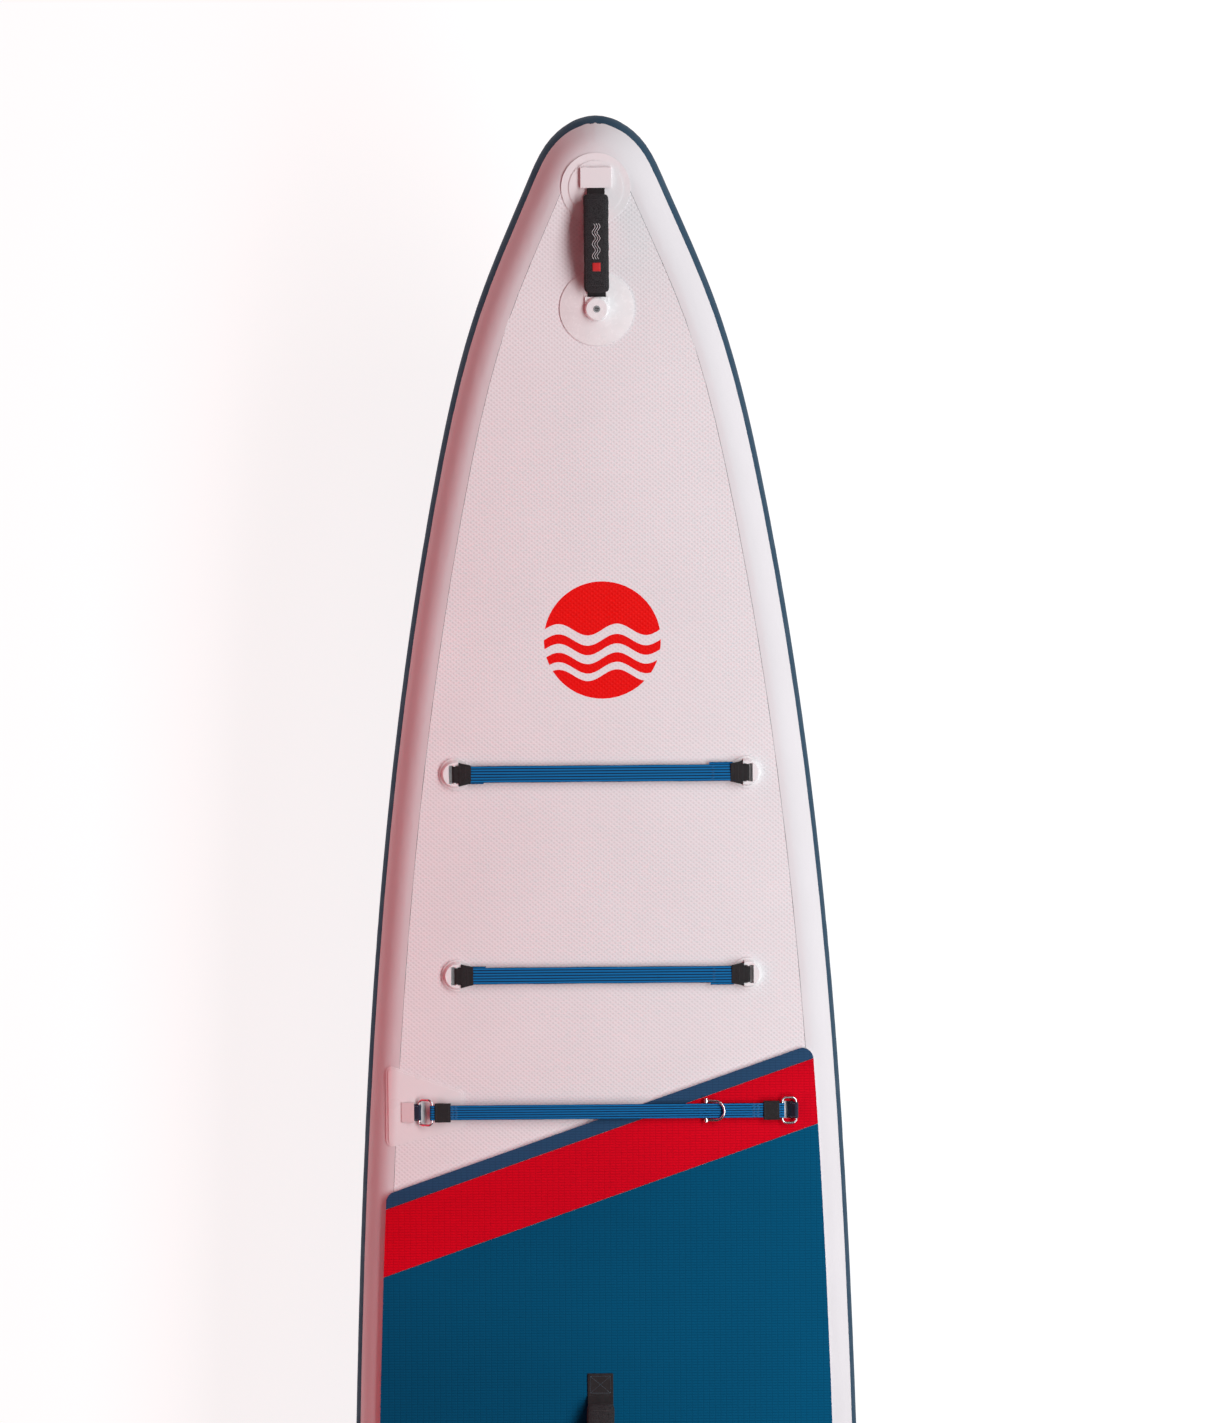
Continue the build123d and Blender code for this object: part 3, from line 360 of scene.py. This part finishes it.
def dress_frame():
    """A finish for every CAD node."""
    rules = [("deck_skin", "deck"), ("hull_skin", "hull"), ("rail_upper", "tape"), ("rail_band", "band"),
             ("rail_lower", "hull"), ("drop_stitch", "yarn"), ("deck_pad_navy", "navy"),
             ("deck_pad_red", "red"), ("deck_pad_teal", "teal"), ("nose_patch", "patch"),
             ("nose_handle_tab", "patch"),
             ("nose_handle_webbing", "black_x"), ("centre_handle_webbing", "black_x"),
             ("tail_handle_webbing", "black_x"), ("nose_handle_grip", "grip"), ("centre_handle_grip", "grip"),
             ("tail_handle_grip", "grip"), ("tail_handle_patch", "patch"), ("leash_patch", "patch"),
             ("side_patch", "patch"), ("side_loop_pocket", "patch"), ("side_loop", "navy_web"),
             ("side_ring", "steel"), ("shackle", "steel"), ("leash_ring", "steel"), ("leash_loop", "black_x"),
             ("accessory_mount", "white_plastic"), ("accessory_insert", "steel"),
             ("cargo_anchor", "white_plastic"), ("cargo_strap_end", "black_y"), ("strap_cuff", "black_y"),
             ("cargo_strap", "black_y"), ("paddle_strap", "black_y"), ("valve_body", "grey_plastic"),
             ("valve_nut", "grey_plastic"), ("valve_stem", "grey_plastic"), ("valve_spring", "steel"),
             ("valve_diaphragm", "seal"), ("valve_cap", "grey_plastic"), ("valve_tether", "seal"),
             ("fin_screw", "steel"), ("fin_plate", "brass"), ("fin_box", "black_plastic"),
             ("fin", "black_plastic")]
    for name, obj in nodes.items():
        finish = next(value for start, value in rules if name.startswith(start))
        obj.data.materials.clear()
        obj.data.materials.append(finishes[finish])


# ---- shapes ----
def deck_height(x, y):
    """Height of the deck's surface at a place."""
    hit, place, _, _ = nodes["deck_skin"].ray_cast(Vector((x, y, 2.0)), Vector((0, 0, -1)))
    return place.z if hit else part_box("deck_skin")[1][2]


def piece(name, mesh, material, body="board"):
    """A finished piece of the look, on one body."""
    obj = bpy.data.objects.new(name, mesh)
    scene.collection.objects.link(obj)
    mesh.materials.clear()
    mesh.materials.append(material)
    smooth(obj)
    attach(obj, body)
    return obj


def applied(obj):
    """The mesh with its modifiers worked in."""
    done = bpy.data.meshes.new_from_object(obj.evaluated_get(bpy.context.evaluated_depsgraph_get()))
    obj.modifiers.clear()
    old, obj.data = obj.data, done
    bpy.data.meshes.remove(old)
    return obj


def softened(node, material, voxel, rounds=6, ripple=0.0, ripple_size=0.01):
    """Stand-in for a sewn CAD node: soft edges and a little unevenness."""
    obj = piece(node + "_cloth", nodes[node].data.copy(), material)
    remesh = obj.modifiers.new("remesh", "REMESH")
    remesh.mode = "VOXEL"
    remesh.voxel_size = voxel
    remesh.use_smooth_shade = True
    if rounds:
        ease = obj.modifiers.new("ease", "SMOOTH")
        ease.factor = 0.5
        ease.iterations = rounds
    if ripple:
        clouds = bpy.data.textures.new(node + "_ripple", "CLOUDS")
        clouds.noise_scale = ripple_size
        push = obj.modifiers.new("ripple", "DISPLACE")
        push.texture = clouds
        push.texture_coords = "GLOBAL"
        push.strength = ripple
        push.mid_level = 0.5
    applied(obj)
    obj.data.shade_smooth()
    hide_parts(node)
    return obj


def sleeve_loops(node, count=44, around=28):
    """Rings of points round a bowed CAD grip, without its tunnel."""
    low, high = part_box(node)
    middle = (low[1] + high[1]) / 2
    half = (high[1] - low[1]) / 2
    source = nodes[node]
    spots = []
    for i in range(count):
        x = low[0] + (high[0] - low[0]) * (0.02 + 0.96 * i / (count - 1))
        top = source.ray_cast(Vector((x, middle, high[2] + 0.1)), Vector((0, 0, -1)))
        foot = source.ray_cast(Vector((x, middle, low[2] - 0.1)), Vector((0, 0, 1)))
        if top[0] and foot[0]:
            spots.append((x, foot[1].z, top[1].z))
    rings = []
    for x, foot, top in spots:
        mid, tall = (foot + top) / 2, (top - foot) / 2
        ring = []
        for k in range(around):
            angle = 2 * math.pi * k / around
            side, up = math.cos(angle), math.sin(angle)
            side = math.copysign(abs(side) ** 0.55, side)
            up = math.copysign(abs(up) ** 0.75, up)
            ring.append(Vector((x, middle + half * side * 0.97, mid + tall * up * 0.86)))
        rings.append(ring)
    return rings


def tube_mesh(name, rings):
    """Closed mesh through rings of points."""
    around = len(rings[0])
    verts = [tuple(v) for ring in rings for v in ring]
    faces = []
    for i in range(len(rings) - 1):
        for k in range(around):
            n = (k + 1) % around
            faces.append((i * around + k, (i + 1) * around + k, (i + 1) * around + n, i * around + n))
    faces.append(tuple(range(around)))
    faces.append(tuple((len(rings) - 1) * around + k for k in reversed(range(around))))
    mesh = bpy.data.meshes.new(name)
    mesh.from_pydata(verts, [], faces)
    mesh.validate()
    work = bmesh.new()
    work.from_mesh(mesh)
    bmesh.ops.recalc_face_normals(work, faces=work.faces)
    work.to_mesh(mesh)
    work.free()
    return mesh


def inflate(obj, pinned, pressure=4.0, cap=0.003, frames=20):
    """Cloth simulation of a stuffed cover, its result applied and kept within a cap."""
    rest = [v.co.copy() for v in obj.data.vertices]
    group = obj.vertex_groups.new(name="held")
    group.add(pinned, 1.0, "REPLACE")
    cloth = obj.modifiers.new("cloth", "CLOTH")
    settings = cloth.settings
    settings.use_pressure = True
    settings.uniform_pressure_force = pressure
    settings.vertex_group_mass = "held"
    settings.tension_stiffness = 30
    settings.compression_stiffness = 30
    settings.bending_stiffness = 0.6
    settings.quality = 6
    settings.effector_weights.gravity = 0
    cloth.collision_settings.use_collision = False
    cloth.point_cache.frame_start = 1
    cloth.point_cache.frame_end = frames
    for frame_number in range(1, frames + 1):
        scene.frame_set(frame_number)
    applied(obj)
    scene.frame_set(1)
    for v, start in zip(obj.data.vertices, rest):
        move = v.co - start
        if move.length > cap:
            v.co = start + move.normalized() * cap
    obj.vertex_groups.clear()


def padded_grip(node, cap):
    """Neoprene sleeve: lofted to the CAD grip, inflated with its seams and ends held, then given soft folds;
    the stitches along its edges are sewn in handles().
    """
    rings = sleeve_loops(node)
    around = len(rings[0])
    for ring, share in ((rings[0], 0.86), (rings[-1], 0.86), (rings[1], 0.95), (rings[-2], 0.95)):
        middle = sum(ring, Vector()) / around
        for k, point in enumerate(ring):
            y = middle.y + (point.y - middle.y) * share
            z = middle.z + (point.z - middle.z) * share
            ring[k] = Vector((point.x, y, z))
    obj = piece(node + "_cover", tube_mesh(node + "_cover", rings), finishes["grip"])
    seams = [i * around + k for i in range(len(rings)) for k in (0, around // 2)]
    ends = list(range(around)) + [(len(rings) - 1) * around + k for k in range(around)]
    inflate(obj, seams + ends, cap=cap)
    fine = obj.modifiers.new("fine", "SUBSURF")
    fine.levels = fine.render_levels = 2
    clouds = bpy.data.textures.new(node + "_folds", "CLOUDS")
    clouds.noise_scale = 0.018
    push = obj.modifiers.new("folds", "DISPLACE")
    push.texture = clouds
    push.texture_coords = "GLOBAL"
    push.strength = 0.0012
    push.mid_level = 0.5
    applied(obj)
    obj.data.shade_smooth()
    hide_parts(node)
    return obj


def thread(name, runs, radius, material):
    """Stitches: short rounded bars between pairs of points, in one mesh."""
    verts, faces = [], []
    for a, b in runs:
        along = b - a
        if along.length < 1e-6:
            continue
        side = along.normalized().orthogonal().normalized()
        up = along.normalized().cross(side)
        base = len(verts)
        for share, grow in ((0.0, 0.35), (0.12, 0.85), (0.5, 1.0), (0.88, 0.85), (1.0, 0.35)):
            for k in range(6):
                angle = math.pi / 3 * k
                spoke = side * math.cos(angle) + up * math.sin(angle)
                verts.append(tuple(a + along * share + spoke * radius * grow))
        for i in range(4):
            for k in range(6):
                n = (k + 1) % 6
                faces.append((base + 6 * i + k, base + 6 * i + n, base + 6 * i + 6 + n, base + 6 * i + 6 + k))
        faces.append(tuple(base + k for k in reversed(range(6))))
        faces.append(tuple(base + 24 + k for k in range(6)))
    mesh = bpy.data.meshes.new(name)
    mesh.from_pydata(verts, [], faces)
    return piece(name, mesh, material)


def on_top(obj, x, y, lift=0.0):
    """Point on the upper surface of a piece."""
    hit, place, _, _ = obj.ray_cast(Vector((x, y, 2.0)), Vector((0, 0, -1)))
    return Vector((x, y, (place.z if hit else deck_height(x, y)) + lift))


def sewn_line(obj, start, end, pitch, lift=0.0001):
    """Stitches along a straight plan line, laid on a piece."""
    length = math.dist(start, end)
    count = max(1, round(length / pitch))
    runs = []
    for i in range(count):
        points = []
        for t in ((i + 0.14) / count, (i + 0.86) / count):
            x = start[0] + (end[0] - start[0]) * t
            y = start[1] + (end[1] - start[1]) * t
            points.append(on_top(obj, x, y, lift))
        runs.append(tuple(points))
    return runs


def box_cross(obj, centre, half, pitch=0.0028):
    """Sewn box with a cross in it."""
    (x, y), (a, b) = centre, half
    corners = [(x - a, y - b), (x + a, y - b), (x + a, y + b), (x - a, y + b)]
    runs = []
    for one, two in zip(corners, corners[1:] + corners[:1]):
        runs += sewn_line(obj, one, two, pitch)
    runs += sewn_line(obj, corners[0], corners[2], pitch)
    return runs + sewn_line(obj, corners[1], corners[3], pitch)


def bar_tack(obj, x, half, near, far, rows):
    """Zigzag threads along Y across a strap that runs along Y."""
    runs = []
    for i in range(rows):
        place = x - half + 2 * half * (i + 0.5) / rows
        lean = half / rows * 0.5
        runs.append((on_top(obj, place - lean, near, 0.0002), on_top(obj, place + lean, far, 0.0002)))
    return runs


# ---- straps ----
def layer(name, low, high, width, x, lift, thickness, material, curl=0.0, rows=24):
    """Flat tape across the board from y low to y high, lying at a height, with rounded edges."""
    profile = [(-1, -0.55), (-0.985, -1), (0, -1), (0.985, -1), (1, -0.55), (1, 0.55), (0.985, 1), (0, 1),
               (-0.985, 1), (-1, 0.55)]
    rings = []
    for i in range(rows + 1):
        share = i / rows
        y = low + (high - low) * share
        drop = curl * math.sin(math.pi * share) ** 2
        wander = 0.00012 * math.sin(23 * share + 61 * x)
        uneven = 0.0001 * math.sin(31 * share)
        rings.append([Vector((x + a * width / 2 + wander, y, lift - drop + b * thickness / 2 + uneven))
                      for a, b in profile])
    return piece(name, tube_mesh(name, rings), material)


def cargo_strap(row, fold_side):
    """Elastic with folded ends under its black sleeves."""
    node = "cargo_strap_" + row
    low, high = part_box(node)
    x, z = (low[0] + high[0]) / 2, (low[2] + high[2]) / 2
    width = STRAP_WIDTH
    finish = elastic("elastic_" + row, x)
    made = layer(node + "_elastic", low[1], high[1], width, x, z, 0.0016, finish,
                 curl=0.0009, rows=60)
    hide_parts(node)
    shift = 0.0034 * fold_side
    finish = elastic("elastic_fold_" + row, x + shift)
    inner = -0.160
    under = z - 0.0020
    layer(node + "_fold_starboard", low[1] + 0.006, inner, width, x + shift, under, 0.0014, finish)
    back = x - shift * 0.55
    layer(node + "_fold_port", high[1] - 0.028, high[1] - 0.006, width, back, under, 0.0014,
          elastic("elastic_tail_" + row, back))
    runs = bar_tack(made, x, width / 2, inner - 0.003, inner - 0.0075, 9)
    thread(node + "_tacks", runs, 0.00028, thread_finishes["blue"])
    for side, sign in (("port", 1), ("starboard", -1)):
        end = softened(f"cargo_strap_end_{row}_{side}", finishes["black_y"], 0.0007, 5,
                       0.0007, 0.007)
        near = sign * 0.199
        runs = []
        for step in (0.0, 0.004):
            y = near + sign * step
            runs += sewn_line(end, (x - 0.0115, y), (x + 0.0115, y), 0.0026)
        thread(f"cargo_end_stitches_{row}_{side}", runs, 0.00022, thread_finishes["black"])


def paddle_strap():
    """Long elastic, its cuffs, tacks and the navy loops in the rings."""
    low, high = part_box("paddle_strap")
    x = (low[0] + high[0]) / 2
    finish = elastic("elastic_paddle", x, width=0.022)
    strap = softened("paddle_strap", finish, 0.0007, 3)
    runs = []
    tacks = ((0.2165, 0.2205), (0.222, 0.2262), (-0.2205, -0.2250), (-0.2265, -0.2312), (-0.2572, -0.2622))
    for near, far in tacks:
        runs += bar_tack(strap, x, 0.0105, near, far, 10)
    thread("paddle_strap_tacks", runs, 0.00042, thread_finishes["sky"])
    for side in ("port", "starboard"):
        cuff = softened("strap_cuff_" + side, finishes["black_y"], 0.0007, 6, 0.0006, 0.008)
        low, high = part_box("strap_cuff_" + side)
        middle = (low[1] + high[1]) / 2
        runs = []
        for y in (middle - 0.009, middle + 0.009):
            runs += sewn_line(cuff, (x - 0.012, y), (x + 0.012, y), 0.0026)
        thread("strap_cuff_stitches_" + side, runs, 0.00022, thread_finishes["black"])
        loop = softened("side_loop_" + side, finishes["navy_web"], 0.0006, 4, 0.0003, 0.01)
        low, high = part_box("side_loop_" + side)
        runs = []
        for edge in (-0.0098, 0.0098):
            runs += sewn_line(loop, (x + edge, low[1] + 0.004), (x + edge, high[1] - 0.004), 0.0028)
        thread("side_loop_stitches_" + side, runs, 0.0002, thread_finishes["pale"])


# ---- pads, handles and other soft pieces ----
def pad(node, key):
    """Foam sheet with a rounded top edge."""
    obj = piece(node + "_foam", nodes[node].data.copy(), finishes[key])
    work = bmesh.new()
    work.from_mesh(obj.data)
    bmesh.ops.remove_doubles(work, verts=work.verts, dist=0.00002)
    edges = []
    for edge in work.edges:
        if len(edge.link_faces) == 2:
            ups = sorted(abs(face.normal.z) for face in edge.link_faces)
            if ups[0] < 0.3 and ups[1] > 0.8 and max(f.normal.z for f in edge.link_faces) > 0.8:
                edges.append(edge)
    bmesh.ops.bevel(work, geom=edges, offset=0.0016, segments=3, profile=0.5, affect="EDGES",
                    clamp_overlap=True)
    work.to_mesh(obj.data)
    work.free()
    smooth(obj, 30)
    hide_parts(node)


def handles():
    """Webbing, padded sleeves, stitched feet and the small woven mark on the nose grip."""
    for place, cap in (("nose", 0.0025), ("centre", 0.003), ("tail", 0.003)):
        web = softened(place + "_handle_webbing", finishes["black_x"], 0.0009, 3)
        cover = padded_grip(place + "_handle_grip", cap)
        low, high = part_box(place + "_handle_grip")
        y = (low[1] + high[1]) / 2
        runs = []
        offset = (high[1] - low[1]) / 2 - 0.0045
        for edge in (y - offset, y + offset):
            runs += sewn_line(cover, (low[0] + 0.01, edge), (high[0] - 0.01, edge), 0.0030)
        for end in (low[0] + 0.012, high[0] - 0.012):
            runs += sewn_line(cover, (end, y - 0.0125), (end, y + 0.0125), 0.0028)
        thread(place + "_grip_stitches", runs, 0.00024, thread_finishes["black"])
        feet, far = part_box(place + "_handle_webbing")
        if place != "nose":
            spread = (far[1] - feet[1]) / 2 - 0.004
            for end, centre in (("front", far[0] - 0.0165), ("back", feet[0] + 0.0165)):
                runs = box_cross(web, (centre, y), (0.0125, spread))
                thread(f"{place}_foot_stitches_{end}", runs, 0.00028, thread_finishes["grey"])
    mark(bpy.data.objects["nose_handle_grip_cover"])


def mark(cover):
    """Woven mark: a red square and a white wave beside it."""
    low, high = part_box("nose_handle_grip")
    y = (low[1] + high[1]) / 2
    start = low[0] + 0.031
    side = 0.0115
    verts, faces = [], []
    steps = 6
    for i in range(steps + 1):
        for k in range(steps + 1):
            verts.append(tuple(on_top(cover, start + side * i / steps, y - 0.006 + side * k / steps, 0.0004)))
    for i in range(steps):
        for k in range(steps):
            a = i * (steps + 1) + k
            faces.append((a, a + steps + 1, a + steps + 2, a + 1))
    mesh = bpy.data.meshes.new("nose_grip_mark")
    mesh.from_pydata(verts, [], faces)
    obj = piece("nose_grip_mark", mesh, thread_finishes["red"])
    solid = obj.modifiers.new("thick", "SOLIDIFY")
    solid.thickness = 0.0004
    solid.offset = 0
    applied(obj)
    runs = []
    count = 34
    begin, reach = start + side + 0.005, 0.050
    for shift in (-0.0035, 0.0, 0.0035):
        points = []
        for i in range(count + 1):
            x = begin + reach * i / count
            sway = 0.0022 * math.sin(2 * math.pi * 3 * i / count)
            points.append(on_top(cover, x, y + shift + sway, 0.0003))
        runs += list(zip(points, points[1:]))
    thread("nose_grip_wave", runs, 0.00045, thread_finishes["white"])


def valve_spring():
    """Copy of the valve spring with the steel finish and a mesh of its own."""
    obj = piece("valve_spring_coil", nodes["valve_spring"].data.copy(), finishes["steel"])
    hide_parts("valve_spring")
    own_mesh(obj)


def thin_plies():
    """Edges of plies and mouldings catch a little light."""
    widths = {"accessory_mount": 0.0008, "nose_handle_tab": 0.0008, "side_loop_pocket": 0.0007,
              "fin_box": 0.001, "valve_body": 0.0006, "valve_cap": 0.0008, "tail_handle_patch": 0.0003,
              "nose_patch_base": 0.0003, "nose_patch_cover": 0.0003, "leash_patch": 0.0003}
    for name, width in widths.items():
        edge = nodes[name].modifiers.new("edge", "BEVEL")
        edge.width = width
        edge.segments = 2
        edge.limit_method = "ANGLE"
        edge.angle_limit = math.radians(40)
        edge.use_clamp_overlap = True
    for name, obj in nodes.items():
        smooth(obj, 32)


def plain_thread(name, colour):
    """Twisted sewing thread."""
    f = Finish(name)
    f.colour(f.ramp(f.wave(0.0005, "DIAGONAL"), [(0.0, mix(colour, (0, 0, 0), 0.35)), (1.0, colour)]))
    f.rough(0.6)
    f.set(Sheen_Weight=0.3)
    return f.material


thread_finishes = {
    "blue": plain_thread("thread_blue", (0.01, 0.10, 0.26)),
    "sky": plain_thread("thread_sky", (0.012, 0.16, 0.40)),
    "black": plain_thread("thread_black", (0.03, 0.03, 0.034)),
    "grey": plain_thread("thread_grey", (0.06, 0.11, 0.15)),
    "pale": plain_thread("thread_pale", (0.30, 0.36, 0.50)),
    "white": plain_thread("thread_white", (0.75, 0.75, 0.77)),
    "red": plain_thread("thread_red", (0.62, 0.006, 0.008)),
}

look_down()
studio()
dress_frame()
thin_plies()
pad("deck_pad_navy", "navy")
pad("deck_pad_red", "red")
pad("deck_pad_teal", "teal")
cargo_strap("front", 1)
cargo_strap("rear", -1)
paddle_strap()
handles()
valve_spring()
softened("leash_loop", finishes["black_x"], 0.0007, 4, 0.0004, 0.01)
